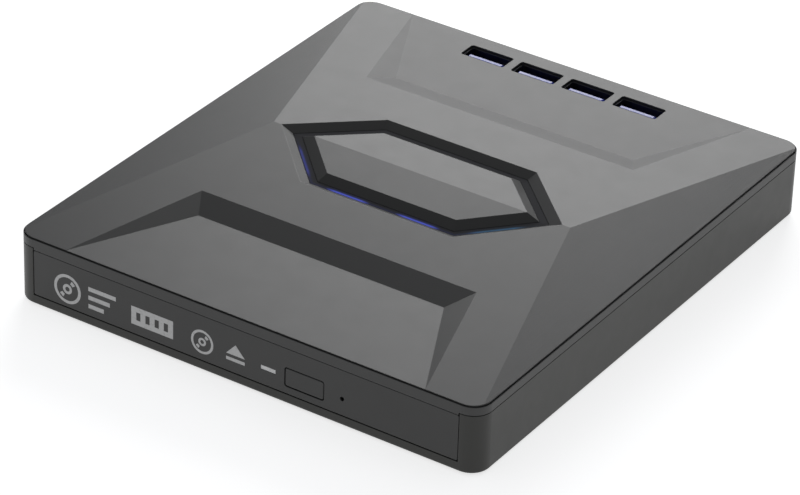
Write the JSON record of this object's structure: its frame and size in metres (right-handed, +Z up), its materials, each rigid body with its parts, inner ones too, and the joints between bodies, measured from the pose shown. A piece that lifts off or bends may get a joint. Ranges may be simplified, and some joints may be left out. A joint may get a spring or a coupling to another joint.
{
  "type": "external optical drive",
  "caption": "Slim external disc drive in a faceted square case with a lit hexagonal groove, upward data ports and a sliding disc tray.",
  "frame": {"origin": "middle of the footprint, on the plane the rubber feet stand on", "axes": "+Z up, -Y the front with the bezel and eject button, +Y the rear with the upward ports, +X the right side seen from the front"},
  "size_m": [0.1394, 0.1582, 0.024],
  "materials": {
    "cover_plastic": "fine textured, semi gloss",
    "base_plastic": "fine textured",
    "bezel_plastic": "fine textured",
    "light_guide": "frosted translucent",
    "lamp_body": "moulded",
    "circuit_board": "solder mask",
    "chip_black": "moulded",
    "flex_film": "smooth film",
    "screw_steel": "zinc plated",
    "socket_steel": "nickel plated",
    "socket_blue": "moulded",
    "jack_brass": "polished",
    "foot_rubber": "matt",
    "sheet_steel": "galvanised",
    "guide_plastic": "moulded",
    "tray_plastic": "fine textured",
    "lens_cover": "frosted",
    "damper_rubber": "matt",
    "rod_steel": "ground",
    "motor_steel": "pressed",
    "spring_steel": "drawn wire",
    "hub_plastic": "moulded",
    "mat_rubber": "matt",
    "sled_metal": "die cast",
    "lens_holder_plastic": "moulded",
    "lens_glass": "coated",
    "switch_plastic": "moulded"
  },
  "bodies": {
    "case": {"top_cover": "cover_plastic", "light_ring": "light_guide", "light_board": "circuit_board", "ring_lamps": "lamp_body", "light_flex": "flex_film", "board_screws": "screw_steel", "base_shell": "base_plastic", "rubber_feet": "foot_rubber", "case_screws": "screw_steel", "hub_board": "circuit_board", "hub_chips": "chip_black", "usb_shell_1": "socket_steel", "usb_shell_2": "socket_steel", "usb_shell_3": "socket_steel", "usb_shell_4": "socket_steel", "usb_tongue_1": "socket_blue", "usb_tongue_2": "socket_blue", "usb_tongue_3": "socket_blue", "usb_tongue_4": "socket_blue", "usbc_shell": "socket_steel", "usbc_tongue": "chip_black", "power_jack": "chip_black", "jack_pin": "jack_brass", "sata_connector": "chip_black", "drive_tub": "sheet_steel", "drive_lid": "sheet_steel", "lid_screws": "screw_steel", "latch_pin": "rod_steel", "guide_right": "guide_plastic", "guide_left": "guide_plastic", "ffc_ribbon": "flex_film"},
    "rails": {"rail_right": "sheet_steel", "rail_left": "sheet_steel"},
    "tray": {"tray": "tray_plastic", "tray_bottom": "sheet_steel", "front_bezel": "bezel_plastic", "lamp_lens": "lens_cover", "eject_switch": "switch_plastic", "button_spring": "spring_steel", "traverse_frame": "sheet_steel", "damper_bushes": "damper_rubber", "traverse_screws": "screw_steel", "guide_rods": "rod_steel", "sled_motor": "motor_steel", "spindle_stator": "motor_steel", "latch_solenoid": "motor_steel", "tray_board": "circuit_board", "tray_chips": "chip_black"},
    "button": {"eject_button": "bezel_plastic"},
    "spindle": {"turntable": "hub_plastic", "clamp_balls": "rod_steel", "turntable_mat": "mat_rubber"},
    "sled": {"pickup_sled": "sled_metal"},
    "lens": {"lens_holder": "lens_holder_plastic", "objective_lens": "lens_glass"},
    "screw": {"lead_screw": "rod_steel"},
    "hook": {"latch_hook": "switch_plastic"}
  },
  "joints": [
    {"name": "tray_slide", "type": "slide", "parent": "case", "child": "tray", "axis": [0, -1, 0], "range_m": [0, 0.128]},
    {"name": "rail_slide", "type": "slide", "parent": "case", "child": "rails", "axis": [0, -1, 0], "range_m": [0, 0.0641]},
    {"name": "eject_press", "type": "slide", "parent": "tray", "child": "button", "axis": [0, 1, 0], "range_m": [0, 0.0006], "stiffness_N_per_m": 400, "deforming": ["button_spring"]},
    {"name": "spindle_spin", "type": "hinge", "parent": "tray", "child": "spindle", "pos_m": [0, -0.013, 0.0094], "axis": [0, 0, 1], "continuous": true},
    {"name": "sled_slide", "type": "slide", "parent": "tray", "child": "sled", "axis": [0, -1, 0], "range_m": [0, 0.032]},
    {"name": "screw_spin", "type": "hinge", "parent": "tray", "child": "screw", "pos_m": [0.023, -0.045, 0.0076], "axis": [0, 1, 0], "range_deg": [0, 3841]},
    {"name": "lens_focus", "type": "slide", "parent": "sled", "child": "lens", "axis": [0, 0, 1], "range_m": [-0.0004, 0.0004], "stiffness_N_per_m": 60},
    {"name": "latch_turn", "type": "hinge", "parent": "tray", "child": "hook", "pos_m": [0.036, -0.05, 0.0054], "axis": [0, 0, 1], "range_deg": [0, 13], "stiffness_Nm_per_rad": 0.002}
  ],
  "couplings": [
    {"joint": "rail_slide", "follows": "tray_slide", "ratio": 0.5},
    {"joint": "screw_spin", "follows": "sled_slide", "rad_per_m": 2094.4}
  ]
}
